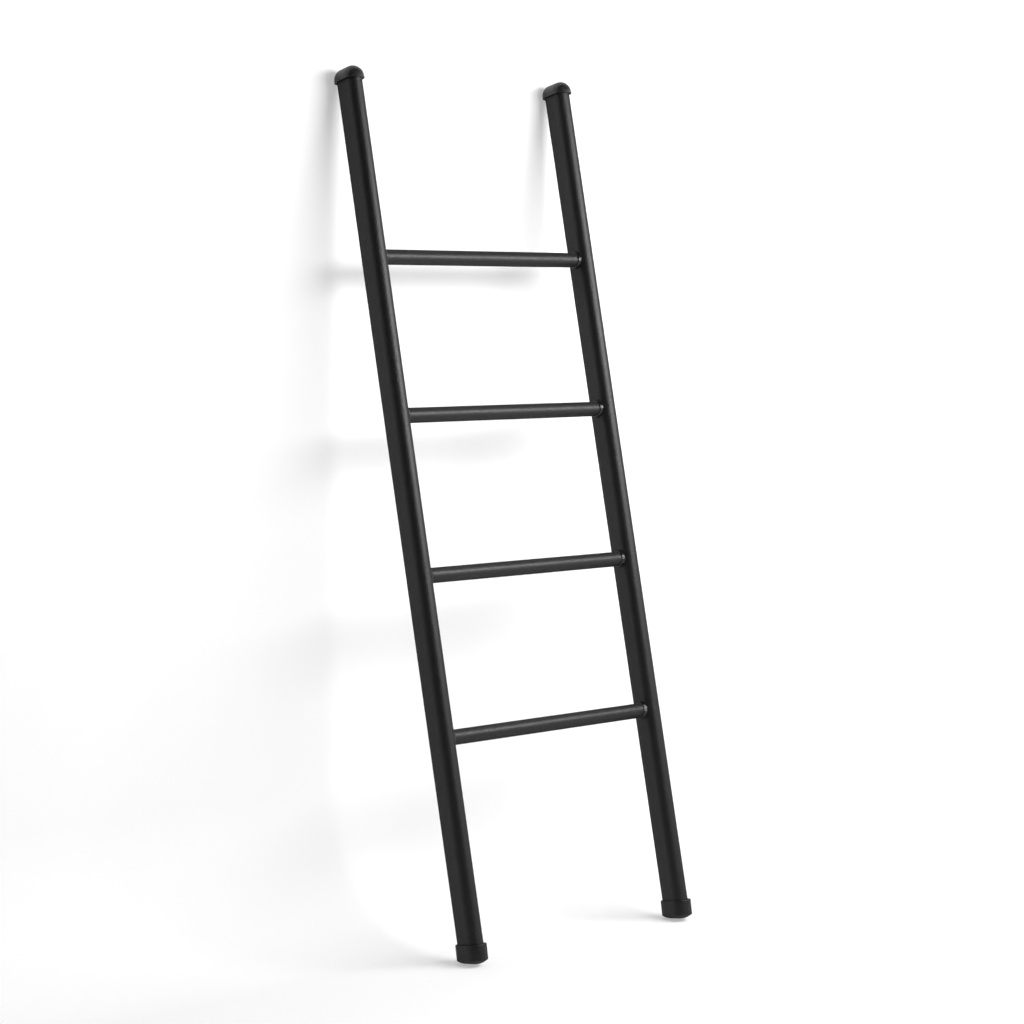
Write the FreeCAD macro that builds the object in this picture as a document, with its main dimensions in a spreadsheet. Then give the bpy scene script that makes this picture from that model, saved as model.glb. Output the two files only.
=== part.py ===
import FreeCAD, Part
import enum
import math
import os
import re
import Sketcher

# A ladder for towels that leans on a wall: two flat-sided oval steel rails, round rungs
# welded between them, a domed cap on top of each rail and a rubber boot below it.
# Millimetres. +X runs along the rungs, +Y points at the wall, +Z is up. The origin lies on
# the floor, at the bottom centre of the ladder's box.

Vector = FreeCAD.Vector
Rotation = FreeCAD.Rotation
Placement = FreeCAD.Placement

ALONG_X = Vector(1, 0, 0)
ALONG_Z = Vector(0, 0, 1)

# Driving sizes: name, value, meaning. Every name has an underscore in it.
SIZES = [
    ("lean_angle", 12.3, "how far the rails lean back from the vertical, degrees"),
    ("rail_spacing", 470, "between the two rails' axes"),
    ("rail_width", 30, "oval tube, across its flat sides"),
    ("rail_depth", 50, "oval tube, front to back"),
    ("rail_wall", 1.5, "oval tube's wall"),
    ("lowest_rung", 355, "from the rail's lower end to the lowest rung's axis"),
    ("rung_pitch", 268, "from one rung's axis to the next"),
    ("rung_count", 4, "number of rungs"),
    ("top_reach", 300, "from the top rung's axis to the rail's upper end"),
    ("rung_diameter", 25.8, "round tube, outside, coated"),
    ("rung_wall", 1.5, "round tube's wall"),
    ("rung_entry", 4, "how far a rung passes the rail's inner side"),
    ("rung_play", 0.1, "gap round a rung in its hole"),
    ("weld_reach", 2.6, "bead's leg along the rail"),
    ("weld_length", 5.0, "bead's leg along the rung"),
    ("weld_bulge", 5.0, "radius of the bead's face"),
    ("cap_rim", 4.5, "how far a cap stands proud of the rail"),
    ("cap_skirt", 3.6, "upright edge of a cap below its dome"),
    ("cap_round", 0.8, "rounding of a cap's lower edge"),
    ("plug_depth", 24, "how far a cap's plug goes down the tube"),
    ("plug_gap", 1.2, "between the plug's stem and the tube"),
    ("plug_wall", 2, "wall of the plug's hollow stem"),
    ("core_rise", 9, "how far the hollow goes up into the dome"),
    ("fin_play", 0.1, "between a fin's edge and the tube"),
    ("fin_height", 1.5, "thickness of a fin"),
    ("fin_drop", 4, "from the rim down to the first fin"),
    ("fin_pitch", 6, "from one fin to the next"),
    ("fin_count", 3, "fins on a plug"),
    ("boot_wall", 4.1, "rubber round the rail"),
    ("boot_play", 0.1, "between the rubber and the rail"),
    ("boot_height", 32.2, "sole's lowest point to the boot's rim"),
    ("boot_cock", 3, "how far a boot sits turned towards the floor, degrees"),
    ("boot_round", 2.0, "rounding where the sole meets the side"),
    ("boot_lip", 1.1, "rounding of the boot's rim"),
    ("sole_crown", 6.6, "rise of the domed sole from its middle to its side"),
    ("sole_depth", 10, "rubber under the steel disc"),
    ("sole_press", 0.2, "how deep the floor presses the sole flat"),
    ("disc_thickness", 1.2, "steel disc under the rail's end"),
    ("disc_play", 0.3, "between the disc's edge and the boot"),
    ("cut_overrun", 5, "how far a cut runs past what it cuts"),
]

# Sizes that follow from the driving ones
RAIL_LENGTH = "(lowest_rung + (rung_count - 1) * rung_pitch + top_reach)"
RAIL_FLAT = "(rail_depth - rail_width)"
BORE_WIDTH = "(rail_width - 2 * rail_wall)"
INNER_FACE = "(rail_width / 2)"
RUNG_RADIUS = "(rung_diameter / 2)"
RUNG_LENGTH = "(rail_spacing - rail_width + 2 * rung_entry)"
WELD_RADIUS = f"({RUNG_RADIUS} + weld_reach)"
CAP_WIDTH = "(rail_width + 2 * cap_rim)"
STEM_WIDTH = f"({BORE_WIDTH} - 2 * plug_gap)"
FIN_WIDTH = f"({BORE_WIDTH} - 2 * fin_play)"
CORE_WIDTH = f"({STEM_WIDTH} - 2 * plug_wall)"
SOCKET_WIDTH = "(rail_width + 2 * boot_play)"
BOOT_WIDTH = f"({SOCKET_WIDTH} + 2 * boot_wall)"
BOOT_DEPTH = f"({BOOT_WIDTH} + {RAIL_FLAT})"
DISC_WIDTH = f"({SOCKET_WIDTH} - 2 * disc_play)"
CROWN_RADIUS = f"((({BOOT_WIDTH} / 2) ^ 2 + sole_crown ^ 2) / (2 * sole_crown))"
FLOOR_TILT = "(lean_angle - boot_cock)"
FLOOR_DROP = (
    f"((sole_press - {RAIL_FLAT} / 2 * sin({FLOOR_TILT} * 1deg)"
    f" - {CROWN_RADIUS} * (1 - cos({FLOOR_TILT} * 1deg))) / cos({FLOOR_TILT} * 1deg))"
)

doc = FreeCAD.newDocument("TowelLadder")
sheet = doc.addObject("Spreadsheet::Sheet", "Sizes")
for row, (alias, value, meaning) in enumerate(SIZES, start=1):
    sheet.set(f"A{row}", meaning)
    sheet.set(f"B{row}", str(value))
    sheet.setAlias(f"B{row}", alias)
doc.recompute()


def on_sheet(formula):
    """The formula with each size's name pointed at the sheet."""
    return re.sub(r"[a-z]+(?:_[a-z]+)+", lambda word: f"Sizes.{word.group()}", formula)


def size(formula):
    """The formula's value, as a plain number."""
    return float(sheet.evalExpression(on_sheet(formula)))


def bind(thing, place, formula):
    """Ties a property or a sketch's dimension to the sheet."""
    thing.setExpression(place, on_sheet(formula))


# Bodies, sketches and features

def new_body(label):
    body = doc.addObject("PartDesign::Body", label)
    body.Label = label
    return body


def origin_feature(body, role):
    return next(f for f in body.Origin.OriginFeatures if f.Role == role)


def new_sketch(body, name, role, offset=None, turn=None):
    """A sketch on one of the body's planes, moved along the plane's normal by offset and
    then turned about the sketch's own X by turn."""
    sketch = body.newObject("Sketcher::SketchObject", name)
    sketch.AttachmentSupport = [(origin_feature(body, role), "")]
    sketch.MapMode = "FlatFace"
    sketch.AttachmentOffset = Placement(Vector(), Rotation(ALONG_X, size(turn or "0")))
    if offset:
        bind(sketch, "AttachmentOffset.Base.z", offset)
    if turn:
        bind(sketch, "AttachmentOffset.Rotation.Angle", turn)
    return sketch


def new_feature(body, kind, name, sketch=None):
    feature = body.newObject(f"PartDesign::{kind}", name)
    if sketch:
        feature.Profile = sketch
        sketch.Visibility = False
    return feature


def pad(body, name, sketch, length, backwards=False, both_ways=False):
    feature = new_feature(body, "Pad", name, sketch)
    bind(feature, "Length", length)
    feature.Reversed = backwards
    if both_ways:
        feature.SideType = "Symmetric"
    return feature


def pocket(body, name, sketch, length, upwards=False, both_ways=False):
    feature = new_feature(body, "Pocket", name, sketch)
    bind(feature, "Length", length)
    feature.Reversed = upwards
    if both_ways:
        feature.SideType = "Symmetric"
    return feature


def revolve(body, name, sketch, axis, angle):
    feature = new_feature(body, "Revolution", name, sketch)
    feature.ReferenceAxis = (sketch, [axis])
    feature.Angle = angle
    return feature


def mirror(body, name, original, role):
    feature = new_feature(body, "Mirrored", name)
    feature.Originals = [original]
    feature.MirrorPlane = (origin_feature(body, role), [""])
    body.Tip = feature
    return feature


def repeat_along_z(body, name, original, count, pitch, downwards=False):
    feature = new_feature(body, "LinearPattern", name)
    feature.Originals = [original]
    feature.Direction = (origin_feature(body, "Z_Axis"), [""])
    feature.Reversed = downwards
    bind(feature, "Occurrences", count)
    bind(feature, "Length", f"({count} - 1) * {pitch}")
    body.Tip = feature
    return feature


# What sketches are drawn with. START, END and CENTRE are a curve's points, numbered from
# one, and AXIS_H and AXIS_V are the sketch's own axes, numbered down from minus one.

START, END, CENTRE = enum.IntEnum("CurvePoint", "START END CENTRE")
AXIS_H, AXIS_V = -START, -END
ORIGIN = (AXIS_H, START)


def hold(sketch, kind, *parts):
    return sketch.addConstraint(Sketcher.Constraint(kind, *parts))


def measure(sketch, kind, *parts, by):
    index = hold(sketch, kind, *parts, size(by))
    bind(sketch, f"Constraints[{index}]", by)


def line(sketch, start, end):
    return sketch.addGeometry(Part.LineSegment(Vector(*start, 0), Vector(*end, 0)))


def arc(sketch, centre, radius, start, end):
    """An anticlockwise arc, its ends given as angles in degrees."""
    circle = Part.Circle(Vector(*centre, 0), ALONG_Z, radius)
    return sketch.addGeometry(Part.ArcOfCircle(circle, math.radians(start), math.radians(end)))


def draw_circle(sketch, radius, height="0"):
    circle = Part.Circle(Vector(0, size(height), 0), ALONG_Z, size(radius))
    ring = sketch.addGeometry(circle)
    hold(sketch, "PointOnObject", ring, CENTRE, AXIS_V)
    measure(sketch, "DistanceY", *ORIGIN, ring, CENTRE, by=height)
    measure(sketch, "Radius", ring, by=radius)


def draw_oval(sketch, width):
    """The rail's oval at another width: two flats as long as the rail's own, and a half
    circle at the front and at the back."""
    radius = size(width) / 2
    reach = size(RAIL_FLAT) / 2
    back = arc(sketch, (0, reach), radius, 0, 180)
    left = line(sketch, (-radius, reach), (-radius, -reach))
    front = arc(sketch, (0, -reach), radius, 180, 360)
    right = line(sketch, (radius, -reach), (radius, reach))
    ring = [back, left, front, right]
    for curve, following in zip(ring, ring[1:] + ring[:1]):
        hold(sketch, "Tangent", curve, END, following, START)
    for half_circle in (back, front):
        hold(sketch, "PointOnObject", half_circle, CENTRE, AXIS_V)
    hold(sketch, "Vertical", left)
    measure(sketch, "Radius", back, by=f"{width} / 2")
    measure(sketch, "DistanceY", *ORIGIN, back, CENTRE, by=f"{RAIL_FLAT} / 2")
    measure(sketch, "DistanceY", front, CENTRE, *ORIGIN, by=f"{RAIL_FLAT} / 2")


def draw_cap_outline(sketch):
    """Half of a cap's section, from its axis outwards: underside, rounded lower edge,
    upright skirt, quarter-circle dome."""
    half = size(CAP_WIDTH) / 2
    skirt = size("cap_skirt")
    rounding = size("cap_round")
    under = line(sketch, (0, 0), (half - rounding, 0))
    edge = arc(sketch, (half - rounding, rounding), rounding, 270, 360)
    side = line(sketch, (half, rounding), (half, skirt))
    dome = arc(sketch, (0, skirt), half, 0, 90)
    axis = line(sketch, (0, skirt + half), (0, 0))
    hold(sketch, "Coincident", under, START, *ORIGIN)
    hold(sketch, "Horizontal", under)
    hold(sketch, "Tangent", under, END, edge, START)
    hold(sketch, "Tangent", edge, END, side, START)
    hold(sketch, "Vertical", side)
    hold(sketch, "Tangent", side, END, dome, START)
    hold(sketch, "PointOnObject", dome, CENTRE, AXIS_V)
    hold(sketch, "Coincident", dome, END, axis, START)
    hold(sketch, "Vertical", axis)
    hold(sketch, "Coincident", axis, END, *ORIGIN)
    measure(sketch, "Radius", edge, by="cap_round")
    measure(sketch, "Radius", dome, by=f"{CAP_WIDTH} / 2")
    measure(sketch, "DistanceY", *ORIGIN, dome, CENTRE, by="cap_skirt")


def draw_boot_outline(sketch):
    """Half of a boot's section, from its axis outwards: domed sole, rounded corner,
    upright side, rim."""
    half = size(BOOT_WIDTH) / 2
    height = size("boot_height")
    rounding = size("boot_round")
    crown = size(CROWN_RADIUS)
    inset = half - rounding
    corner_height = crown - math.sqrt((crown - rounding) ** 2 - inset ** 2)
    corner_angle = math.degrees(math.asin(inset / (crown - rounding))) - 90
    sole = arc(sketch, (0, crown), crown, -90, corner_angle)
    corner = arc(sketch, (inset, corner_height), rounding, corner_angle, 0)
    side = line(sketch, (half, corner_height), (half, height))
    rim = line(sketch, (half, height), (0, height))
    axis = line(sketch, (0, height), (0, 0))
    hold(sketch, "Coincident", sole, START, *ORIGIN)
    hold(sketch, "PointOnObject", sole, CENTRE, AXIS_V)
    hold(sketch, "Tangent", sole, END, corner, START)
    hold(sketch, "Tangent", corner, END, side, START)
    hold(sketch, "Vertical", side)
    hold(sketch, "Coincident", side, END, rim, START)
    hold(sketch, "Horizontal", rim)
    hold(sketch, "Coincident", rim, END, axis, START)
    hold(sketch, "Vertical", axis)
    hold(sketch, "Coincident", axis, END, *ORIGIN)
    measure(sketch, "Radius", sole, by=CROWN_RADIUS)
    measure(sketch, "Radius", corner, by="boot_round")
    measure(sketch, "DistanceX", *ORIGIN, side, START, by=f"{BOOT_WIDTH} / 2")
    measure(sketch, "DistanceY", *ORIGIN, axis, START, by="boot_height")


def draw_weld_section(sketch):
    """A bead's section on one side of the rung: it starts inside the rail, follows the rung
    out past the rail's flat and comes back in a bulging face."""
    root = size(RUNG_RADIUS)
    crest = size(WELD_RADIUS)
    face = size(INNER_FACE)
    tip = face + size("weld_length")
    deep = line(sketch, (0, root), (0, crest))
    outer = line(sketch, (0, crest), (face, crest))
    chord = Vector(face - tip, crest - root, 0)
    reach = math.sqrt(size("weld_bulge") ** 2 - chord.Length ** 2 / 4)
    middle = Vector((face + tip) / 2, (root + crest) / 2, 0)
    across = Vector(-chord.y, chord.x, 0).normalize()
    centre = middle + across * reach
    from_tip = math.degrees(math.atan2(root - centre.y, tip - centre.x))
    to_face = math.degrees(math.atan2(crest - centre.y, face - centre.x))
    bulge = arc(sketch, (centre.x, centre.y), size("weld_bulge"), from_tip, to_face)
    inner = line(sketch, (tip, root), (0, root))
    hold(sketch, "PointOnObject", deep, START, AXIS_V)
    hold(sketch, "Vertical", deep)
    hold(sketch, "Coincident", deep, END, outer, START)
    hold(sketch, "Horizontal", outer)
    hold(sketch, "Coincident", outer, END, bulge, END)
    hold(sketch, "Coincident", bulge, START, inner, START)
    hold(sketch, "Horizontal", inner)
    hold(sketch, "Coincident", inner, END, deep, START)
    measure(sketch, "DistanceY", *ORIGIN, deep, START, by=RUNG_RADIUS)
    measure(sketch, "DistanceY", *ORIGIN, deep, END, by=WELD_RADIUS)
    measure(sketch, "DistanceX", *ORIGIN, outer, END, by=INNER_FACE)
    measure(sketch, "DistanceX", *ORIGIN, inner, START, by=f"{INNER_FACE} + weld_length")
    measure(sketch, "Radius", bulge, by="weld_bulge")


def oval_solid(body, draw_outline):
    """A solid with the rail's oval plan: the half section runs straight along the flats and
    turns round both ends."""
    straight = new_sketch(body, "straight_section", "XZ_Plane")
    draw_outline(straight)
    side = pad(body, "straight_side", straight, RAIL_FLAT, both_ways=True)
    mirror(body, "other_side", side, "YZ_Plane")
    turned = new_sketch(body, "end_section", "XZ_Plane", offset=f"{RAIL_FLAT} / 2")
    draw_outline(turned)
    end = revolve(body, "front_end", turned, "V_Axis", 180)
    end.Reversed = True
    mirror(body, "back_end", end, "XZ_Plane")


# Sub-parts, each in its own frame

def make_rail(label, hole_side):
    """Oval tube with a hole for each rung in its inner wall. It stands on its lower end.
    hole_side is 1 where the rungs lie towards +X and -1 where they lie towards -X."""
    body = new_body(label)
    section = new_sketch(body, "section", "XY_Plane")
    draw_oval(section, "rail_width")
    draw_oval(section, BORE_WIDTH)
    pad(body, "tube", section, RAIL_LENGTH)
    hole = new_sketch(body, "hole", "YZ_Plane")
    draw_circle(hole, f"{RUNG_RADIUS} + rung_play", height="lowest_rung")
    first = pocket(body, "rung_hole", hole, f"{INNER_FACE} + cut_overrun", upwards=hole_side > 0)
    repeat_along_z(body, "rung_holes", first, "rung_count", "rung_pitch")
    return body


def make_rung(label):
    """Round tube, its middle at the origin."""
    body = new_body(label)
    section = new_sketch(body, "section", "YZ_Plane")
    draw_circle(section, RUNG_RADIUS)
    draw_circle(section, f"{RUNG_RADIUS} - rung_wall")
    pad(body, "tube", section, RUNG_LENGTH, both_ways=True)
    return body


def make_weld(label):
    """Bead round a rung where it meets a rail whose axis passes through the origin."""
    body = new_body(label)
    section = new_sketch(body, "section", "XZ_Plane")
    draw_weld_section(section)
    revolve(body, "bead", section, "H_Axis", 360)
    rail = new_sketch(body, "rail_section", "XY_Plane")
    draw_oval(rail, "rail_width")
    pocket(body, "rail_seat", rail, f"2 * ({WELD_RADIUS} + cut_overrun)", both_ways=True)
    return body


def make_cap(label):
    """Domed cap whose rim sits on the tube's end at the origin, with a hollow finned plug
    that goes down the tube."""
    body = new_body(label)
    oval_solid(body, draw_cap_outline)
    stem = new_sketch(body, "stem_section", "XY_Plane")
    draw_oval(stem, STEM_WIDTH)
    pad(body, "stem", stem, "plug_depth", backwards=True)
    fin_section = new_sketch(body, "fin_section", "XY_Plane", offset="-fin_drop")
    draw_oval(fin_section, FIN_WIDTH)
    fin = pad(body, "fin", fin_section, "fin_height", backwards=True)
    repeat_along_z(body, "fins", fin, "fin_count", "fin_pitch", downwards=True)
    core = new_sketch(body, "core_section", "XY_Plane", offset="-plug_depth")
    draw_oval(core, CORE_WIDTH)
    pocket(body, "core", core, "plug_depth + core_rise", upwards=True)
    return body


def make_boot(label):
    """Rubber boot with a domed sole, the sole's middle at the origin. The socket for the
    rail is turned back by as much as the boot sits turned forward, and the floor has
    pressed a flat into the sole."""
    body = new_body(label)
    oval_solid(body, draw_boot_outline)
    socket = new_sketch(body, "socket_section", "XY_Plane", offset="sole_depth", turn="-boot_cock")
    draw_oval(socket, SOCKET_WIDTH)
    opened = pocket(body, "socket", socket, "boot_height + cut_overrun", upwards=True)
    doc.recompute()
    lip = new_feature(body, "Fillet", "lip")
    lip.Base = (opened, [top_face_name(opened.Shape)])
    bind(lip, "Radius", "boot_lip")
    floor = new_sketch(body, "floor_section", "XY_Plane", offset=FLOOR_DROP, turn=FLOOR_TILT)
    draw_circle(floor, f"{BOOT_DEPTH} + cut_overrun")
    pocket(body, "pressed_flat", floor, "boot_height")
    return body


def top_face_name(shape):
    """The name of the highest flat face."""
    flats = [
        (face.CenterOfMass.z, index)
        for index, face in enumerate(shape.Faces, start=1)
        if isinstance(face.Surface, Part.Plane)
    ]
    return f"Face{max(flats)[1]}"


def make_disc(label):
    """Steel disc between the rail's end, at the origin, and the boot."""
    body = new_body(label)
    section = new_sketch(body, "section", "XY_Plane")
    draw_oval(section, DISC_WIDTH)
    pad(body, "disc", section, "disc_thickness", backwards=True)
    return body


# The ladder put together. Each piece has a place on the upright ladder, whose rails stand
# on z = 0 with their axes in the plane y = 0.

AS_MADE = Rotation()
HALF_TURN = Rotation(ALONG_Z, 180)

half_spacing = size("rail_spacing / 2")
places = []


def put(body, x, z, turn=AS_MADE):
    places.append((body, Placement(Vector(x, 0, z), turn)))


for side_name, side in (("left", -1), ("right", 1)):
    rail_x = side * half_spacing
    put(make_rail(f"rail_{side_name}", hole_side=-side), rail_x, 0)
    put(make_cap(f"cap_{side_name}"), rail_x, size(RAIL_LENGTH))
    put(make_disc(f"foot_disc_{side_name}"), rail_x, 0)
    boot = make_boot(f"foot_{side_name}")
    socket_floor = Placement(
        Vector(rail_x, 0, -size("disc_thickness")), Rotation(ALONG_X, size("boot_cock"))
    )
    places.append((boot, socket_floor * Placement(Vector(0, 0, -size("sole_depth")), AS_MADE)))

for number in range(1, round(size("rung_count")) + 1):
    height = size("lowest_rung") + (number - 1) * size("rung_pitch")
    put(make_rung(f"rung_{number}"), 0, height)
    put(make_weld(f"weld_left_{number}"), -half_spacing, height)
    put(make_weld(f"weld_right_{number}"), half_spacing, height, HALF_TURN)

doc.recompute()


# Leaning, and moved so that the bottom centre of its box is the origin

lean = Placement(Vector(), Rotation(ALONG_X, -size("lean_angle")))
for body, place in places:
    body.Placement = lean * place
doc.recompute()
box = Part.Compound([body.Shape for body, place in places]).optimalBoundingBox(False, False)
to_floor = Placement(Vector(-box.Center.x, -box.Center.y, -box.ZMin), AS_MADE)
for body, place in places:
    body.Placement = to_floor * lean * place
doc.recompute()


# Every feature and every sub-part is sound before anything is written

for thing in doc.Objects:
    if "Invalid" in thing.State or "Error" in thing.State:
        raise RuntimeError(f"{thing.Label}: {thing.State}")
for body, place in places:
    shape = body.Shape
    if shape.isNull() or not shape.isValid() or len(shape.Solids) != 1:
        raise RuntimeError(f"{body.Label} is not one sound solid")

os.makedirs("parts", exist_ok=True)
for body, place in places:
    body.Shape.exportStep(f"parts/{body.Label}.step")
    print(f"{body.Label}: {body.Shape.Volume:.1f} mm3")
box = Part.Compound([body.Shape for body, place in places]).optimalBoundingBox(False, False)
print(f"box {box.XMin:.3f} {box.YMin:.3f} {box.ZMin:.3f} to {box.XMax:.3f} {box.YMax:.3f} {box.ZMax:.3f}")
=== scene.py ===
import math

import bmesh
import bpy
import numpy as np
from bpy.props import (
    FloatProperty,
    FloatVectorProperty,
    IntProperty,
    PointerProperty,
)
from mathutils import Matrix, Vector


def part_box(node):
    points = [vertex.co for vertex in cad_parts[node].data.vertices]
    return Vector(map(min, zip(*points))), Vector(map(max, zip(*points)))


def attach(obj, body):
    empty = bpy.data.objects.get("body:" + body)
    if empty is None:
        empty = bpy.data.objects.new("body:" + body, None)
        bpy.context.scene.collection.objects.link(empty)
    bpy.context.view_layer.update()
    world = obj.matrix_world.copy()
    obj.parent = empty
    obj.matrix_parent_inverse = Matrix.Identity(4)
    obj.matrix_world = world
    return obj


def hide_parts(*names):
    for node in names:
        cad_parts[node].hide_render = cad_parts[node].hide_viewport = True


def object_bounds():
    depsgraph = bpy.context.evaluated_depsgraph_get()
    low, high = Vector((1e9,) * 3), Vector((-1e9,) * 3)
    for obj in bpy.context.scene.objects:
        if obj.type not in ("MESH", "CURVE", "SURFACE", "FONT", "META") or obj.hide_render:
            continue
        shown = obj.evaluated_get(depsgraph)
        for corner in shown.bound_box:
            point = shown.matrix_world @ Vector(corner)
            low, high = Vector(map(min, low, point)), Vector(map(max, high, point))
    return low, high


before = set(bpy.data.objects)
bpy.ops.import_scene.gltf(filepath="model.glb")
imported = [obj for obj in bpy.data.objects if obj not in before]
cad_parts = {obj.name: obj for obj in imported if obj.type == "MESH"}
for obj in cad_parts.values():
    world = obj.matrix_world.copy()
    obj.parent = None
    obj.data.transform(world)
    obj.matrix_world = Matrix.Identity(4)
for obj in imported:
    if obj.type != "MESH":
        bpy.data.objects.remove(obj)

# The looks of a black towel ladder that leans on a wall. The rails, rungs and steel discs
# keep their solids and get their finishes here. The weld beads, the caps and the rubber
# boots are new surfaces that stand for theirs.

bl_info = {
    "name": "Towel Ladder",
    "version": (1, 0, 0),
    "blender": (4, 5, 0),
    "location": "3D View > Sidebar > Ladder",
    "description": "Finishes, weld beads, caps, rubber boots and stage of a towel ladder",
    "category": "Object",
}

MM = 0.001
CAD_BOX = [list(corner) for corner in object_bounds()]
SIDES = {"left": -1, "right": 1}
RUNGS = sorted(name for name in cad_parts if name.startswith("rung_"))


# Where things are. The ladder's own frame has x along the rungs, y from the front to the
# back of a rail and z up the rails, with its origin between the rails' lower ends.

class OwnFrame:
    """A frame of a piece's own inside the row frame, in metres."""

    def __init__(self, turn, origin=(0, 0, 0)):
        self.turn = np.array(turn, float)
        self.origin = np.array(origin, float)

    def to_row(self, points):
        """Points of this frame, in the row frame."""
        return np.asarray(points, float) @ self.turn.T + self.origin

    def span(self, node):
        """Lowest and highest corner of a CAD node, measured along this frame's axes."""
        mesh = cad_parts[node].data
        points = np.empty(len(mesh.vertices) * 3, np.float32)
        mesh.vertices.foreach_get("co", points)
        own = (points.reshape(-1, 3) - self.origin) @ self.turn
        return own.min(axis=0), own.max(axis=0)

    def tipped(self, angle, pivot):
        """This frame turned by the angle about its own x, its origin moved to the pivot."""
        sine, cosine = math.sin(angle), math.cos(angle)
        tip = np.array([[1, 0, 0], [0, cosine, -sine], [0, sine, cosine]])
        return OwnFrame(self.turn @ tip, self.to_row(pivot))


def ladder_frame():
    """The ladder's own frame. The line through the lowest and the top rung is the way up."""
    low, high = ((np.array(a) + np.array(b)) / 2 for a, b in map(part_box, (RUNGS[0], RUNGS[-1])))
    way_up = (high - low) / np.linalg.norm(high - low)
    along_rungs = np.array([1.0, 0.0, 0.0])
    loose = OwnFrame(np.column_stack([along_rungs, np.cross(way_up, along_rungs), way_up]))
    low, high = loose.span("rail_left")
    return OwnFrame(loose.turn, loose.to_row([0, (low[1] + high[1]) / 2, low[2]]))


LADDER = ladder_frame()
RAIL_LOW, RAIL_HIGH = LADDER.span("rail_right")
RAIL_X = (RAIL_LOW[0] + RAIL_HIGH[0]) / 2
RAIL_RADIUS = (RAIL_HIGH[0] - RAIL_LOW[0]) / 2
RAIL_LENGTH = RAIL_HIGH[2]
HALF_FLAT = RAIL_HIGH[1] - RAIL_RADIUS


# What a user would change

class LadderCoatSettings(bpy.types.PropertyGroup):
    """The powder coat on the steel."""

    colour: FloatVectorProperty(
        name="Colour", description="Colour of the powder coat",
        subtype="COLOR", size=3, min=0, max=1, default=(0.0042, 0.0042, 0.0044),
    )
    crest_colour: FloatVectorProperty(
        name="Crest colour", description="Colour on top of the coat's grains",
        subtype="COLOR", size=3, min=0, max=1, default=(0.0075, 0.0075, 0.0078),
    )
    roughness: FloatProperty(
        name="Roughness", description="Mean roughness of the coat",
        subtype="FACTOR", min=0, max=1, default=0.42,
    )
    gloss: FloatProperty(
        name="Gloss", description="How much the coat reflects, 0.5 being common plastic",
        subtype="FACTOR", min=0, max=1, default=0.285,
    )
    grain_size: FloatProperty(
        name="Grain size", description="From one grain of the fine texture to the next",
        unit="LENGTH", min=0.0001, max=0.01, default=1.9 * MM,
    )
    grain_height: FloatProperty(
        name="Grain height", description="How far the grains stand up",
        unit="LENGTH", min=0, max=0.001, default=0.22 * MM,
    )
    peel_size: FloatProperty(
        name="Wave size", description="From one soft wave of the coat to the next",
        unit="LENGTH", min=0.0005, max=0.05, default=3.6 * MM,
    )


class LadderWeldSettings(bpy.types.PropertyGroup):
    """The beads where the rungs meet the rails."""

    ripple_pitch: FloatProperty(
        name="Ripple pitch", description="From one ripple of a bead to the next",
        unit="LENGTH", min=0.0005, max=0.01, default=2.6 * MM,
    )
    ripple_height: FloatProperty(
        name="Ripple height", description="How far the ripples stand out",
        unit="LENGTH", min=0, max=0.002, default=0.13 * MM,
    )
    wander: FloatProperty(
        name="Wander", description="How far a bead's edges wander",
        unit="LENGTH", min=0, max=0.002, default=0.15 * MM,
    )
    roughness: FloatProperty(
        name="Roughness", description="Mean roughness of the coat on a bead",
        subtype="FACTOR", min=0, max=1, default=0.22,
    )
    gloss: FloatProperty(
        name="Gloss", description="How much the coat on a bead reflects, 0.5 being common plastic",
        subtype="FACTOR", min=0, max=1, default=0.37,
    )


class LadderCapSettings(bpy.types.PropertyGroup):
    """The moulded caps on top of the rails."""

    colour: FloatVectorProperty(
        name="Colour", description="Colour of the plastic",
        subtype="COLOR", size=3, min=0, max=1, default=(0.010, 0.010, 0.0103),
    )
    roughness: FloatProperty(
        name="Roughness", description="Mean roughness of the plastic",
        subtype="FACTOR", min=0, max=1, default=0.28,
    )
    gloss: FloatProperty(
        name="Gloss", description="How much the plastic reflects, 0.5 being common plastic",
        subtype="FACTOR", min=0, max=1, default=0.38,
    )
    rounding: FloatProperty(
        name="Edge rounding", description="Rounding of the cap's lower edge",
        unit="LENGTH", min=0, max=0.003, default=0.35 * MM,
    )
    flare: FloatProperty(
        name="Flare", description="How much wider the cap is at its lower edge than at its dome",
        unit="LENGTH", min=0, max=0.002, default=0.4 * MM,
    )
    fins: IntProperty(
        name="Fins", description="Fins on the plug inside the tube", min=0, max=3, default=3,
    )


class LadderBootSettings(bpy.types.PropertyGroup):
    """The rubber boots."""

    colour: FloatVectorProperty(
        name="Colour", description="Colour of the rubber",
        subtype="COLOR", size=3, min=0, max=1, default=(0.006, 0.006, 0.0062),
    )
    scuffed_colour: FloatVectorProperty(
        name="Scuffed colour", description="Colour of the rubber round the sole's edge",
        subtype="COLOR", size=3, min=0, max=1, default=(0.013, 0.013, 0.0127),
    )
    roughness: FloatProperty(
        name="Roughness", description="Mean roughness of the rubber",
        subtype="FACTOR", min=0, max=1, default=0.38,
    )
    gloss: FloatProperty(
        name="Gloss", description="How much the rubber reflects, 0.5 being common plastic",
        subtype="FACTOR", min=0, max=1, default=0.27,
    )
    cock: FloatProperty(
        name="Cock", description="How far a boot sits turned towards the floor",
        subtype="ANGLE", min=0, max=0.2, default=math.radians(3),
    )


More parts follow.
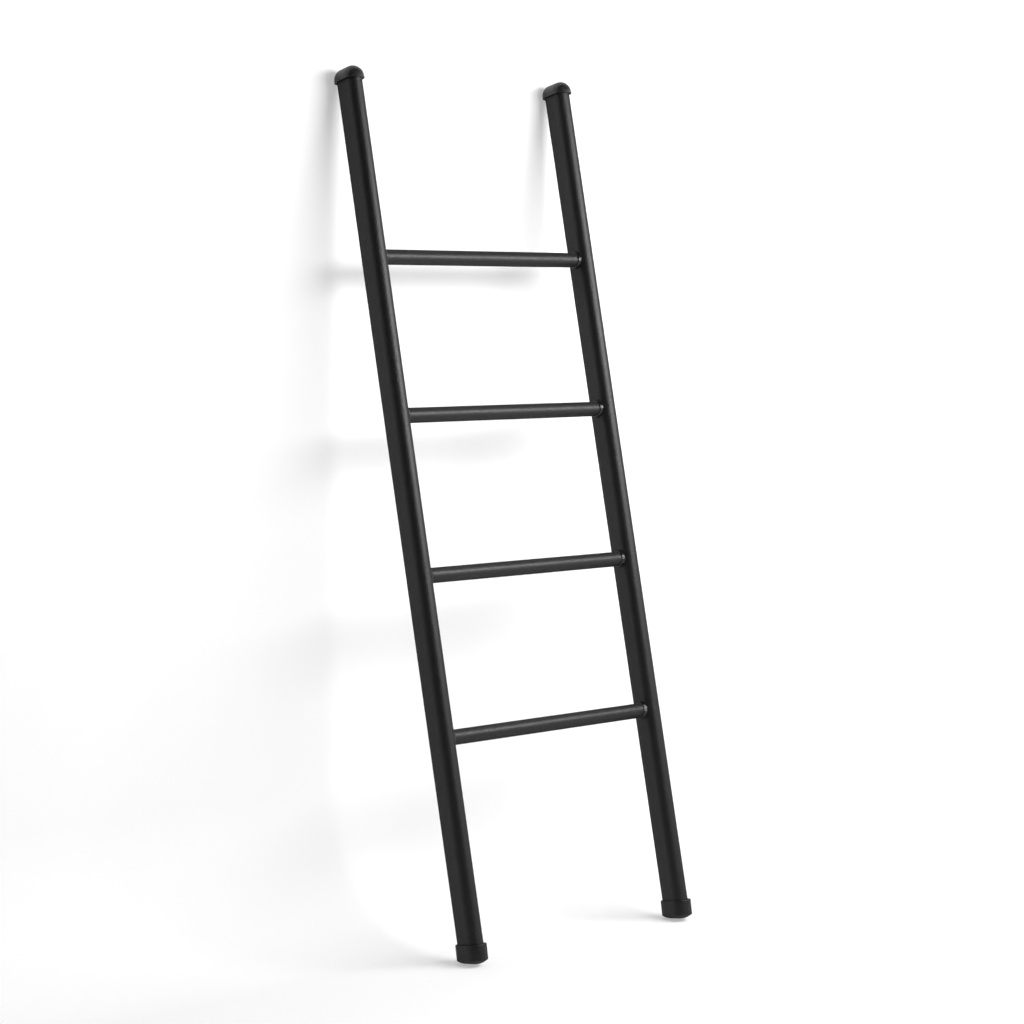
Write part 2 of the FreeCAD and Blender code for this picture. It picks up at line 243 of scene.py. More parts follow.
class LadderStageSettings(bpy.types.PropertyGroup):
    """Light and camera."""

    key_azimuth: FloatProperty(
        name="Key azimuth", description="Turn of the key light from straight ahead of the ladder",
        subtype="ANGLE", default=math.radians(30),
    )
    key_distance: FloatProperty(
        name="Key distance", description="From the ladder's axis to the key light",
        unit="LENGTH", min=0.2, max=10, default=1.87,
    )
    key_height: FloatProperty(
        name="Key height", description="Height of the key light's middle",
        unit="LENGTH", min=0, max=5, default=1.70,
    )
    key_width: FloatProperty(
        name="Key width", description="Width of the key light",
        unit="LENGTH", min=0.05, max=5, default=2.3,
    )
    key_length: FloatProperty(
        name="Key length", description="Height of the key light's face",
        unit="LENGTH", min=0.05, max=5, default=0.75,
    )
    key_power: FloatProperty(
        name="Key power", description="Power of the key light",
        unit="POWER", min=0, default=85,
    )
    fill_power: FloatProperty(
        name="Fill power", description="Power of the low, wide fill light",
        unit="POWER", min=0, default=9,
    )
    room_glow: FloatProperty(
        name="Room glow", description="Brightness of the dim room around the stage",
        min=0, max=1, default=0.15,
    )


class LadderSettings(bpy.types.PropertyGroup):
    """Everything about the towel ladder that a user would change."""

    coat: PointerProperty(type=LadderCoatSettings, name="Coat", description="Powder coat")
    welds: PointerProperty(type=LadderWeldSettings, name="Welds", description="Weld beads")
    caps: PointerProperty(type=LadderCapSettings, name="Caps", description="Top caps")
    boots: PointerProperty(type=LadderBootSettings, name="Boots", description="Rubber boots")
    stage: PointerProperty(type=LadderStageSettings, name="Stage", description="Light and camera")


# Shader nodes

MIX_FACTOR, MIX_FIRST, MIX_SECOND, MIX_RESULT = 0, 6, 7, 2
NOISE_ROUGHNESS = 0.5
NOISE_DETAIL = 2.0
FINE_DETAIL = 1.0
RICH_DETAIL = 3.0
DULL_FACING = (0.2, 0.8)


class Value:
    """What one socket of a node gives. Sums and products of it add Math nodes."""

    def __init__(self, shader, socket):
        self.shader = shader
        self.socket = socket

    def __add__(self, other):
        return self.shader.maths("ADD", self, other)

    def __sub__(self, other):
        return self.shader.maths("SUBTRACT", self, other)

    def __rsub__(self, other):
        return self.shader.maths("SUBTRACT", other, self)

    def __mul__(self, other):
        return self.shader.maths("MULTIPLY", self, other)

    __radd__ = __add__
    __rmul__ = __mul__


class Shader:
    """A material or a world while its nodes are put together."""

    def __init__(self, owner):
        owner.use_nodes = True
        self.owner = owner
        self.tree = owner.node_tree
        self.tree.nodes.clear()

    def node(self, kind, settings=None, sockets=None, output=0):
        """Adds a node. Its settings are set first, a ramp's stops among them, then its sockets,
        each to a plain value or to a link from a Value. Returns the output asked for."""
        made = self.tree.nodes.new(f"ShaderNode{kind}")
        for name, setting in (settings or {}).items():
            if name == "stops":
                ramp = made.color_ramp
                for place, tone in setting[2:]:
                    ramp.elements.new(place)
                for element, (place, tone) in zip(ramp.elements, sorted(setting)):
                    element.position = place
                    element.color = (tone, tone, tone, 1)
            else:
                setattr(made, name, setting)
        for name, value in (sockets or {}).items():
            if isinstance(value, Value):
                self.tree.links.new(value.socket, made.inputs[name])
            else:
                made.inputs[name].default_value = value
        return Value(self, made.outputs[output]) if len(made.outputs) else None

    def maths(self, operation, *terms):
        """One Math node."""
        return self.node("Math", {"operation": operation}, dict(enumerate(terms)))

    def background_ray(self):
        """1 on a ray that shows the background, in the camera or in a mirror or glass."""
        seen = [
            self.node("LightPath", output=f"Is {kind} Ray")
            for kind in ("Camera", "Glossy", "Transmission")
        ]
        return self.maths("MAXIMUM", self.maths("MAXIMUM", seen[0], seen[1]), seen[2])

    def noise(self, place, size, detail=NOISE_DETAIL):
        """Soft random heights, from 0 to 1, whose features are as far apart as the size."""
        sockets = {
            "Vector": place, "Scale": 1 / size, "Detail": detail, "Roughness": NOISE_ROUGHNESS,
        }
        return self.node("TexNoise", {}, sockets, "Fac")

    def mixed(self, share, first, second):
        """The first colour where the share is 0, and the second where it is 1."""
        sockets = {MIX_FACTOR: share, MIX_FIRST: (*first, 1), MIX_SECOND: (*second, 1)}
        return self.node("Mix", {"data_type": "RGBA"}, sockets, MIX_RESULT)

    def dulled(self, roughness, amount):
        """A roughness that rises by the amount from where the surface faces the eye to where
        it turns away, because the peaks of its grain hide the smooth hollows there."""
        facing = self.node("LayerWeight", {}, {"Blend": 0.5}, "Facing")
        return self.within(facing, *DULL_FACING) * amount + roughness

    def within(self, value, low, high):
        """0 below low, 1 above high and a smooth rise between."""
        sockets = {"Value": value, "From Min": low, "From Max": high}
        return self.node("MapRange", {"interpolation_type": "SMOOTHSTEP"}, sockets)

    def bumps(self, distance, height):
        """The normal of a surface whose heights from 0 to 1 stand for that distance."""
        return self.node("Bump", {}, {"Distance": distance, "Height": height}, "Normal")

    def finish(self, **sockets):
        """Ends the material in one Principled BSDF with those sockets."""
        named = {name.replace("_", " "): value for name, value in sockets.items()}
        surface = self.node("BsdfPrincipled", {}, named)
        self.node("OutputMaterial", {}, {"Surface": surface})
        return self.owner


# The powder coat's heights are shares of the grain height, and its sand is a share of a
# grain's size. The bead's coat has flowed, so it shows less of the grain.

GRAIN_SHARE = 0.62
GRAIN_SMOOTHNESS = 0.7
SAND_SHARE = 0.25
SAND_SIZE_SHARE = 0.55
WAVE_SHARE = 1.9
WAVE_DULL = 0.16
CREST_SAND = 0.5
CREST_RISE = (0.85, 1.25)
CREST_DULL = 0.10
COAT_DULL = 0.45
BEAD_TEXTURE = 0.35


def powder_coat(coat, name, roughness, gloss, texture=1.0):
    """Fine-textured powder coat: round grains of uneven size stand on soft waves. The grains'
    crests are a shade lighter and duller than the hollows between them. texture is how much
    of the grain shows."""
    shader = Shader(bpy.data.materials.new(name))
    place = shader.node("TexCoord", output="Object")
    waves = shader.noise(place, coat.peel_size)
    sand = shader.noise(place, coat.grain_size * SAND_SIZE_SHARE, FINE_DETAIL)
    cells = {"Vector": place, "Scale": 1 / coat.grain_size, "Smoothness": GRAIN_SMOOTHNESS}
    grains = 1 - shader.node("TexVoronoi", {"feature": "SMOOTH_F1"}, cells, "Distance")
    height = grains * (GRAIN_SHARE * texture) + sand * (SAND_SHARE * texture)
    height = height + waves * WAVE_SHARE
    crest = shader.within(grains + sand * CREST_SAND, *CREST_RISE)
    return shader.finish(
        Base_Color=shader.mixed(crest, coat.colour, coat.crest_colour),
        Roughness=shader.dulled(
            roughness + (waves - 0.5) * WAVE_DULL + crest * (CREST_DULL * texture), COAT_DULL
        ),
        Specular_IOR_Level=gloss,
        Normal=shader.bumps(coat.grain_height, height),
    )


PLASTIC_GRAIN = 0.45 * MM
PLASTIC_CLOUD = 7 * MM
PLASTIC_CLOUD_SHARE = 0.8
PLASTIC_RELIEF = 0.03 * MM
PLASTIC_LIGHTER = 1.5
PLASTIC_LIGHT_RISE = (0.35, 0.7)
PLASTIC_CLOUD_DULL = 0.12
PLASTIC_GRAIN_DULL = 0.05
CAP_DULL = 0.2


def moulded_plastic(caps):
    """Satin black plastic from an eroded mould: a very fine grain, with the gloss of the mould
    changing slowly over the dome."""
    shader = Shader(bpy.data.materials.new("cap_plastic"))
    place = shader.node("TexCoord", output="Object")
    fine = shader.noise(place, PLASTIC_GRAIN, FINE_DETAIL)
    slow = shader.noise(place, PLASTIC_CLOUD)
    lighter = tuple(PLASTIC_LIGHTER * tone for tone in caps.colour)
    uneven = (slow - 0.5) * PLASTIC_CLOUD_DULL + (fine - 0.5) * PLASTIC_GRAIN_DULL
    return shader.finish(
        Base_Color=shader.mixed(
            shader.within(slow, *PLASTIC_LIGHT_RISE), caps.colour, lighter
        ),
        Roughness=shader.dulled(caps.roughness + uneven, CAP_DULL),
        Specular_IOR_Level=caps.gloss,
        Normal=shader.bumps(PLASTIC_RELIEF, fine + slow * PLASTIC_CLOUD_SHARE),
    )


RUBBER_PATCH = 2.5 * MM
RUBBER_PORE = 0.5 * MM
RUBBER_RELIEF = 0.04 * MM
RUBBER_PATCH_SHARE = 0.7
RUBBER_PATCH_DULL = 0.1
RUBBER_DULL = 0.3
SCUFF_HEIGHT = (2 * MM, 9 * MM)
SCUFF_RISE = (0.42, 0.68)
SCUFF_DULL = 0.15


def boot_rubber(boots):
    """Matte black rubber. It is scuffed grey in patches within a few millimetres of the floor,
    and faint pores cover it."""
    shader = Shader(bpy.data.materials.new("boot_rubber"))
    place = shader.node("TexCoord", output="Object")
    height_up = shader.node("SeparateXYZ", {}, {"Vector": place}, "Z")
    patches = shader.noise(place, RUBBER_PATCH, RICH_DETAIL)
    fine = shader.noise(place, RUBBER_PORE, FINE_DETAIL)
    low_down = 1 - shader.within(height_up, *SCUFF_HEIGHT)
    scuffs = low_down * shader.within(patches, *SCUFF_RISE)
    uneven = scuffs * SCUFF_DULL + (patches - 0.5) * RUBBER_PATCH_DULL
    return shader.finish(
        Base_Color=shader.mixed(scuffs, boots.colour, boots.scuffed_colour),
        Roughness=shader.dulled(boots.roughness + uneven, RUBBER_DULL),
        Specular_IOR_Level=boots.gloss,
        Normal=shader.bumps(RUBBER_RELIEF, fine + patches * RUBBER_PATCH_SHARE),
    )


ZINC = (0.62, 0.62, 0.60)
ZINC_SPANGLE = (0.46, 0.46, 0.45)
ZINC_ROUGHNESS = 0.32
ZINC_BRUSH_DULL = 0.18
ZINC_RELIEF = 0.01 * MM
BRUSH_PITCH = 1.5 * MM
BRUSH_STRETCH = (1.0, 12.0, 1.0)
SPANGLE_SIZE = 3 * MM


def zinc_plate():
    """Zinc-plated steel: grey metal with the soft spangle and brush marks of the blank."""
    shader = Shader(bpy.data.materials.new("disc_steel"))
    place = shader.node("TexCoord", output="Object")
    stretched = shader.node("Mapping", {}, {"Vector": place, "Scale": BRUSH_STRETCH})
    brushed = shader.noise(stretched, BRUSH_PITCH, RICH_DETAIL)
    cells = {"Vector": place, "Scale": 1 / SPANGLE_SIZE}
    spangle = shader.node("TexVoronoi", {"feature": "F1"}, cells, "Distance")
    return shader.finish(
        Base_Color=shader.mixed(spangle, ZINC, ZINC_SPANGLE),
        Metallic=1.0,
        Roughness=ZINC_ROUGHNESS + brushed * ZINC_BRUSH_DULL,
        Normal=shader.bumps(ZINC_RELIEF, brushed),
    )


# Surfaces

MERGE_DISTANCE = 0.0005 * MM
SHARP_ANGLE = math.radians(35)


def arc(centre, radius, start, end, steps):
    """Points on a circle's arc, its ends given as angles in degrees."""
    angles = np.radians(np.linspace(start, end, steps + 1))
    return np.column_stack(
        [centre[0] + radius * np.cos(angles), centre[1] + radius * np.sin(angles)]
    )


def round_oval(half_flat, arc_steps, flat_steps):
    """Where each point round an oval stands: the angle of its outward normal and the place,
    along the oval's middle line, of the centre that the normal comes from. The angle turns
    through half a circle round each end and stays put along each flat, where the centre
    slides from one end to the other."""
    half_turn = np.linspace(0, math.pi, arc_steps + 1)
    slide = np.linspace(half_flat, -half_flat, flat_steps + 1)[1:-1]
    straight = np.ones(len(slide))
    bend = np.full(len(half_turn), half_flat)
    angles = np.concatenate(
        [half_turn, math.pi * straight, half_turn + math.pi, 2 * math.pi * straight]
    )
    centres = np.concatenate([bend, slide, -bend, -slide])
    return angles, centres


def carry_round(profile, oval):
    """A profile of (radius, height) points carried round an oval: x is the radius times the
    cosine of the angle, y the centre plus the radius times its sine, z the height."""
    angles, centres = oval
    radius, height = profile[:, :1], profile[:, 1:]
    across = radius * np.cos(angles)
    depth = centres + radius * np.sin(angles)
    return np.stack([across, depth, np.broadcast_to(height, across.shape)], axis=-1)


def grid_object(name, grid, corner, material):
    """A smooth mesh over a grid of points in the row frame, at the origin. corner holds the
    number of the point at each corner of the grid's faces."""
    faces = np.stack(
        [corner[:-1, :-1], corner[:-1, 1:], corner[1:, 1:], corner[1:, :-1]], axis=-1
    )
    mesh = bpy.data.meshes.new(name)
    mesh.from_pydata(grid.reshape(-1, 3).tolist(), [], faces.reshape(-1, 4).tolist())
    mesh.shade_smooth()
    mesh.materials.append(material)
    made = bpy.data.objects.new(name, mesh)
    bpy.context.scene.collection.objects.link(made)
    return made


def numbered(grid):
    """The number of each point of a grid."""
    return np.arange(grid.shape[0] * grid.shape[1]).reshape(grid.shape[:2])


def new_piece(name, grid, node, material, ring=False):
    """A closed piece over a grid of points, riding on the ladder in place of a CAD node. Each
    row of the grid is a closed loop. If ring is true, the last row joins the first, and
    otherwise both end in a line or a point, whose doubles are merged."""
    corner = numbered(grid)
    corner = np.hstack([corner, corner[:, :1]])
    if ring:
        corner = np.vstack([corner, corner[:1]])
    piece = grid_object(name, grid, corner, material)
    shape = bmesh.new()
    shape.from_mesh(piece.data)
    bmesh.ops.remove_doubles(shape, verts=shape.verts, dist=MERGE_DISTANCE)
    bmesh.ops.recalc_face_normals(shape, faces=shape.faces)
    shape.to_mesh(piece.data)
    shape.free()
    piece.data.set_sharp_from_angle(angle=SHARP_ANGLE)
    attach(piece, "root")
    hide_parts(node)
    return piece


def coat_nodes(nodes, material):
    """Gives CAD nodes that keep their shape a material."""
    for node in nodes:
        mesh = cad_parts[node].data
        mesh.materials.clear()
        mesh.materials.append(material)


# Weld beads

BEAD_ROUND_STEPS = 288
BEAD_FACE_STEPS = 18
BEAD_TOE_SLOPE = math.radians(13)
BEAD_TOE_SHARE = 0.66
BEAD_TIP_SLOPE = math.radians(80)
BEAD_TIP_SHARE = 0.7
BEAD_SINK = 0.12 * MM
BEAD_ROOT = 0.9 * MM
BEAD_NUMBER_SEED = 100
BEAD_SIDE_SEED = 7
BEAD_TOE_BACK_SHARE = 0.4
BEAD_TIP_BACK_SHARE = 0.3
BEAD_TOE_WAVES = (2, 9)
BEAD_TIP_WAVES = (2, 7)
BEAD_UNEVEN_WAVES = (3, 17)
BEAD_UNEVEN_RIPPLE = 0.5
BEAD_UNEVEN_SWELL = 0.6
BEAD_DRIFT_WAVES = (2, 11)
BEAD_DRIFT = 0.9
BEAD_RIPPLE_MEAN = 0.64
BEAD_RIPPLE_LAG = 2.4
BEAD_RIPPLE_SHARES = {1: 2.2, 2: 1.0, 3: 0.8, 4: 0.7}
BEAD_STOP_REACH = 2.2 * MM
BEAD_STOP_RISE = 1.6
BEAD_REST_LEVEL = 0.6


def wandering(draw, angles, slowest, fastest):
    """A smooth random line round a circle, about one high: cosines of whole numbers of waves,
    each with a phase and a weight of its own, slower waves weighing more."""
    waves = np.arange(slowest, fastest + 1)
    phases = draw.uniform(0, 2 * math.pi, len(waves))
    weights = draw.uniform(0.5, 1.0, len(waves)) / np.sqrt(waves)
    curves = weights[:, None] * np.cos(waves[:, None] * angles + phases[:, None])
    return curves.sum(axis=0) / np.sqrt((weights ** 2).sum() / 2) / 2


def bead_surface(side, number, settings):
    """A weld bead round a rung. Seen in section, its face is a cubic curve: it leaves a toe on
    the rail's surface at a gentle slope, runs along the rung like a collar and drops steeply
    to a tip on the rung. Ripples follow one another round the rung: each is the absolute
    value of a cosine, round on top and sharp between, pushed out along the curve's normal
    and trailing at the bead's edges. A low bump shows where the bead starts and stops. The
    toe and the tip wander. The bead's hidden side runs inside the rail's wall and just below
    the rung's surface."""
    sign = SIDES[side]
    low, high = LADDER.span(f"weld_{side}_{number}")
    rung_low, rung_high = LADDER.span(f"rung_{number}")
    seed = BEAD_NUMBER_SEED * number + BEAD_SIDE_SEED * (sign + 2)
    draw = np.random.default_rng(seed)
    root = (rung_high[2] - rung_low[2]) / 2
    crest = (high[2] - low[2]) / 2
    tip = RAIL_X - min(abs(low[0]), abs(high[0]))
    round_angle = np.linspace(0, 2 * math.pi, BEAD_ROUND_STEPS, endpoint=False)
    start = draw.uniform(0, 2 * math.pi)

    toe_wander = wandering(draw, round_angle, *BEAD_TOE_WAVES) - BEAD_TOE_BACK_SHARE
    toe_height = crest + settings.wander * toe_wander
    past_flat = np.maximum(np.abs(toe_height * np.cos(round_angle)) - HALF_FLAT, 0)
    toe_out = np.sqrt(RAIL_RADIUS ** 2 - past_flat ** 2) - BEAD_SINK
    tip_wander = wandering(draw, round_angle, *BEAD_TIP_WAVES) - BEAD_TIP_BACK_SHARE
    tip_out = tip + settings.wander * tip_wander
    toe = np.stack([toe_out, toe_height])
    end = np.stack([tip_out, root + 0 * tip_out])
    lean_out = [math.cos(BEAD_TOE_SLOPE), -math.sin(BEAD_TOE_SLOPE)]
    fall = [math.cos(BEAD_TIP_SLOPE), -math.sin(BEAD_TIP_SLOPE)]
    past_toe = toe + np.outer(lean_out, BEAD_TOE_SHARE * (tip_out - toe_out))
    before_end = end - np.outer(fall, BEAD_TIP_SHARE * (toe_height - root))

    share = np.linspace(0, 1, BEAD_FACE_STEPS + 1)[:, None, None]
    rest = 1 - share
    face = rest ** 3 * toe + 3 * rest ** 2 * share * past_toe
    face = face + 3 * rest * share ** 2 * before_end + share ** 3 * end
    heading = rest ** 2 * (past_toe - toe) + 2 * rest * share * (before_end - past_toe)
    heading = heading + share ** 2 * (end - before_end)
    heading = heading / np.linalg.norm(heading, axis=1, keepdims=True)

    across = 2 * share[:, :, 0] - 1
    ripples = round(2 * math.pi * crest / settings.ripple_pitch)
    uneven = wandering(draw, round_angle, *BEAD_UNEVEN_WAVES)
    drift = BEAD_DRIFT * wandering(draw, round_angle, *BEAD_DRIFT_WAVES)
    phase = ripples * round_angle / 2 + drift
    ripple = np.abs(np.cos(phase + BEAD_RIPPLE_LAG * across ** 2)) - BEAD_RIPPLE_MEAN
    from_start = np.angle(np.exp(1j * (round_angle - start))) * crest
    stop = np.exp(-((from_start / BEAD_STOP_REACH) ** 2))
    height = settings.ripple_height * BEAD_RIPPLE_SHARES[number]
    swell = ripple * (1 + BEAD_UNEVEN_RIPPLE * uneven) + BEAD_UNEVEN_SWELL * uneven
    swell = height * (swell + BEAD_STOP_RISE * stop - BEAD_REST_LEVEL)
    swell = swell * (1 - across ** 2) ** 0.5
    out = face[:, 0] - swell * heading[:, 1]
    up = face[:, 1] + swell * heading[:, 0]

    hidden_out = [tip_out, RAIL_RADIUS - BEAD_ROOT + 0 * toe_out, toe_out - BEAD_ROOT]
    hidden_up = [root - BEAD_SINK + 0 * tip_out, root - BEAD_SINK + 0 * toe_out, toe_height]
    out = np.vstack([out, *hidden_out])
    up = np.vstack([up, *hidden_up])
    own = np.stack(
        [
            sign * (RAIL_X - out),
            (low[1] + high[1]) / 2 + up * np.cos(round_angle),
            (low[2] + high[2]) / 2 + up * np.sin(round_angle),
        ],
        axis=-1,
    )
    return LADDER.to_row(own)


# Caps

CAP_DOME_STEPS = 40
CAP_EDGE_STEPS = 8
CAP_ROUND_STEPS = (48, 14)
RIM_WALL = 1.0 * MM
RIM_HOLLOW = 1.8 * MM
PLUG_DEPTH = 24 * MM
PLUG_STEM_RADIUS = 12.3 * MM
PLUG_CORE_RADIUS = 10.3 * MM
PLUG_CORE_RISE = 9 * MM
FIN_RADIUS = 13.4 * MM
FIN_THICKNESS = 1.5 * MM
FIN_DROP = 4 * MM
FIN_PITCH = 6 * MM


def cap_surface(side, settings):
    """A cap: half a section carried round the rail's oval. From the ridge of the dome it goes
    down a quarter circle, the upright skirt and a rounded edge, up into the hollow under the
    rim and back to the tube's end, down the finned plug and up inside the plug's hollow to
    the ridge again."""
    low, high = LADDER.span(f"cap_{side}")
    half = (high[0] - low[0]) / 2
    dome = half - settings.flare
    skirt = high[2] - RAIL_LENGTH - half
    edge = settings.rounding
    profile = [
        arc((0, skirt), dome, 90, 0, CAP_DOME_STEPS),
        arc((half - edge, edge), edge, 0, -90, CAP_EDGE_STEPS),
        [(half - RIM_WALL, 0), (half - RIM_WALL, RIM_HOLLOW)],
        [(RAIL_RADIUS, RIM_HOLLOW), (RAIL_RADIUS, 0), (PLUG_STEM_RADIUS, 0)],
    ]
    for fin in range(settings.fins):
        top = -FIN_DROP - fin * FIN_PITCH
        foot = top - FIN_THICKNESS
        profile.append([(PLUG_STEM_RADIUS, top), (FIN_RADIUS, top)])
        profile.append([(FIN_RADIUS, foot), (PLUG_STEM_RADIUS, foot)])
    profile.append(
        [
            (PLUG_STEM_RADIUS, -PLUG_DEPTH),
            (PLUG_CORE_RADIUS, -PLUG_DEPTH),
            (PLUG_CORE_RADIUS, PLUG_CORE_RISE),
            (0, PLUG_CORE_RISE),
        ]
    )
    grid = carry_round(np.vstack(profile), round_oval(HALF_FLAT, *CAP_ROUND_STEPS))
    return LADDER.to_row(grid + [(low[0] + high[0]) / 2, 0, RAIL_LENGTH])


# Boots

SOLE_STEPS = 30
BOOT_CORNER_STEPS = 10
BOOT_LIP_STEPS = 8
BOOT_ROUND_STEPS = (64, 18)
SOLE_CROWN = 6.6 * MM
SOLE_DEPTH = 10.0 * MM
BOOT_HEIGHT = 32.2 * MM
BOOT_CORNER = 2.0 * MM
BOOT_LIP = 1.1 * MM
BOOT_MOUTH = 2.2 * MM
SOCKET_RADIUS = 15.1 * MM
SOCKET_FOOT = 3 * MM
DISC_THICKNESS = 1.2 * MM


def boot_surface(side, settings):
    """A boot: half a section carried round the rail's oval. From the middle of the sole it
    goes out along the domed tread, round the corner, up the side, over the rounded lip, down
    the socket and in across the socket's floor. The socket is turned back about x by as much
    as the boot is cocked. Where the sole would pass the floor, it is pressed flat on it."""
    low, high = LADDER.span(f"foot_{side}")
    half = (high[0] - low[0]) / 2
    crown = (half ** 2 + SOLE_CROWN ** 2) / (2 * SOLE_CROWN)
    inset = half - BOOT_CORNER
    lift = crown - math.sqrt((crown - BOOT_CORNER) ** 2 - inset ** 2)
    lean = math.degrees(math.asin(inset / (crown - BOOT_CORNER))) - 90
    outside = np.vstack(
        [
            arc((0, crown), crown, -90, lean, SOLE_STEPS),
            arc((inset, lift), BOOT_CORNER, lean, 0, BOOT_CORNER_STEPS)[1:],
            [(half, (lift + BOOT_HEIGHT) / 2)],
            arc((half - BOOT_LIP, BOOT_HEIGHT - BOOT_LIP), BOOT_LIP, 0, 90, BOOT_LIP_STEPS),
        ]
    )
    mouth_centre = (SOCKET_RADIUS + BOOT_MOUTH, BOOT_HEIGHT - BOOT_MOUTH)
    mouth = np.vstack(
        [
            arc(mouth_centre, BOOT_MOUTH, 90, 180, BOOT_LIP_STEPS),
            [(SOCKET_RADIUS, SOLE_DEPTH + SOCKET_FOOT)],
        ]
    )
    floor = np.array([(SOCKET_RADIUS, 0), (0, 0)])
    oval = round_oval(HALF_FLAT, *BOOT_ROUND_STEPS)
    sine, cosine = math.sin(settings.cock), math.cos(settings.cock)

    outer, inner, seat = (carry_round(part, oval) for part in (outside, mouth, floor))
    depth = inner[..., 1].copy()
    rise = (inner[..., 2] - SOLE_DEPTH + depth * sine) / cosine
    inner[..., 1] = depth * cosine + rise * sine
    depth = seat[..., 1].copy()
    seat[..., 1] = depth * cosine
    seat[..., 2] = SOLE_DEPTH - depth * sine

    middle = (low[0] + high[0]) / 2
    own = LADDER.tipped(settings.cock, [middle, 0, -DISC_THICKNESS])
    points = own.to_row(np.concatenate([outer, inner, seat]) - [0, 0, SOLE_DEPTH])
    points[..., 2] = np.maximum(points[..., 2], 0)
    return points


# Stage

CAMERA_PLACE = (-2.8953, -3.2471, 1.0559)
CAMERA_AZIMUTH = math.radians(41.618)
CAMERA_DOWN = math.radians(4.490)
CAMERA_LENS = 90.02
FLOOR_REACH = 40.0
WALL_REACH = 6.0
WALL_HEIGHT = 4.5
COVE_RADIUS = 0.25
COVE_STEPS = 24
WALL_GAP = 0.3 * MM
FLOOR_GAP = 0.1 * MM
ROOM_RADIUS = 8.0
ROOM_STEPS = (48, 24)
FILL_PLACE = (math.radians(38), 2.3, 0.7)
FILL_SIZE = (3.0, 0.8)
PALE = (0.53, 0.53, 0.53)
NEAR_GLOW = 0.39
FAR_GLOW = 0.66
GLOW_RISE = (0.4, 3.0)
GLOW_MIDDLE = (0.5, 0, 0)


def pale_paint(name, see_through_back=False):
    """Plain pale paint, which the rays that show the background see brought up to white. It
    needs little of that near the ladder, where the key light falls, and more with the
    distance from it. If see_through_back is true, it can be looked through from behind."""
    shader = Shader(bpy.data.materials.new(name))
    surface = shader.node("BsdfDiffuse", {}, {"Color": (*PALE, 1)})
    place = shader.node("TexCoord", output="Object")
    across = shader.node("VectorMath", {"operation": "MULTIPLY"}, {0: place, 1: (1, 1, 0)})
    ends = {0: across, 1: GLOW_MIDDLE}
    away = shader.node("VectorMath", {"operation": "DISTANCE"}, ends, "Value")
    rise = shader.within(away, *GLOW_RISE) * (FAR_GLOW - NEAR_GLOW) + NEAR_GLOW
    strength = shader.background_ray() * rise
    glow = shader.node("Emission", {}, {"Color": (1, 1, 1, 1), "Strength": strength})
    surface = shader.node("AddShader", {}, {0: surface, 1: glow})
    if see_through_back:
        back = shader.node("NewGeometry", output="Backfacing")
        clear = shader.node("BsdfTransparent")
        surface = shader.node("MixShader", {}, {"Fac": back, 1: surface, 2: clear})
    shader.node("OutputMaterial", {}, {"Surface": surface})
    return shader.owner


def dim_cloth(strength):
    """Dark cloth around the room, which only gives off the light of a dim room."""
    shader = Shader(bpy.data.materials.new("room_cloth"))
    glow = shader.node("Emission", {}, {"Color": (1, 1, 1, 1), "Strength": strength})
    shader.node("OutputMaterial", {}, {"Surface": glow})
    return shader.owner


def carried_along(path, reach):
    """A grid of points: a path of (y, z) points carried along x for reach both ways."""
    across = np.broadcast_to([-reach, reach], (len(path), 2))
    depth, height = (np.broadcast_to(path[:, i:i + 1], (len(path), 2)) for i in (0, 1))
    return np.stack([across, depth, height], axis=-1)


def front_dome(radius):
    """A grid of points: the quarter of a ball's surface in front of the wall and above the
    floor, by its angle round z from left to right and its angle above the floor."""
    turns = np.linspace(-math.pi / 2, math.pi / 2, ROOM_STEPS[0] + 1)
    rises = np.linspace(0, math.pi / 2, ROOM_STEPS[1] + 1)
    turn, rise = np.meshgrid(turns, rises)
    across, depth = np.sin(turn) * np.cos(rise), -np.cos(turn) * np.cos(rise)
    return radius * np.stack([across, depth, np.sin(rise)], axis=-1)


def stage_sheet(name, grid, material):
    """An open sheet of the stage over a grid of points."""
    sheet = grid_object(name, grid, numbered(grid), material)
    return sheet


def ahead(azimuth, distance, height):
    """A place in front of the ladder, the azimuth turning from straight ahead to its right."""
    return [distance * math.sin(azimuth), -distance * math.cos(azimuth), height]


def soft_light(name, place, aim, width, length, power):
    """A rectangular soft light that looks at a point."""
    lamp = bpy.data.lights.new(name, "AREA")
    lamp.shape = "RECTANGLE"
    lamp.size = width
    lamp.size_y = length
    lamp.energy = power
    light = bpy.data.objects.new(name, lamp)
    bpy.context.scene.collection.objects.link(light)
    gaze = np.array(aim) - np.array(place)
    down = math.atan2(-gaze[2], math.hypot(gaze[0], gaze[1]))
    light.location = place
    light.rotation_euler = (math.pi / 2 - down, 0, math.atan2(-gaze[0], gaze[1]))
    return light


def studio_world(strength):
    """An even dim light, white to the rays that show the background."""
    shader = Shader(bpy.data.worlds.new("studio"))
    level = shader.background_ray() * (1 - strength) + strength
    light = shader.node("Background", {}, {"Color": (1, 1, 1, 1), "Strength": level})
    shader.node("OutputWorld", {}, {"Surface": light})
    return shader.owner


# Operators, one for each kind of piece and one for the stage

class LADDER_OT_rails(bpy.types.Operator):
    """Powder-coats the two rails"""

    bl_idname = "towel_ladder.rails"
    bl_label = "Rails"

    def execute(self, context):
        coat = context.scene.towel_ladder.coat
        material = powder_coat(coat, "rail_coat", coat.roughness, coat.gloss)
        coat_nodes([f"rail_{side}" for side in SIDES], material)
        return {"FINISHED"}


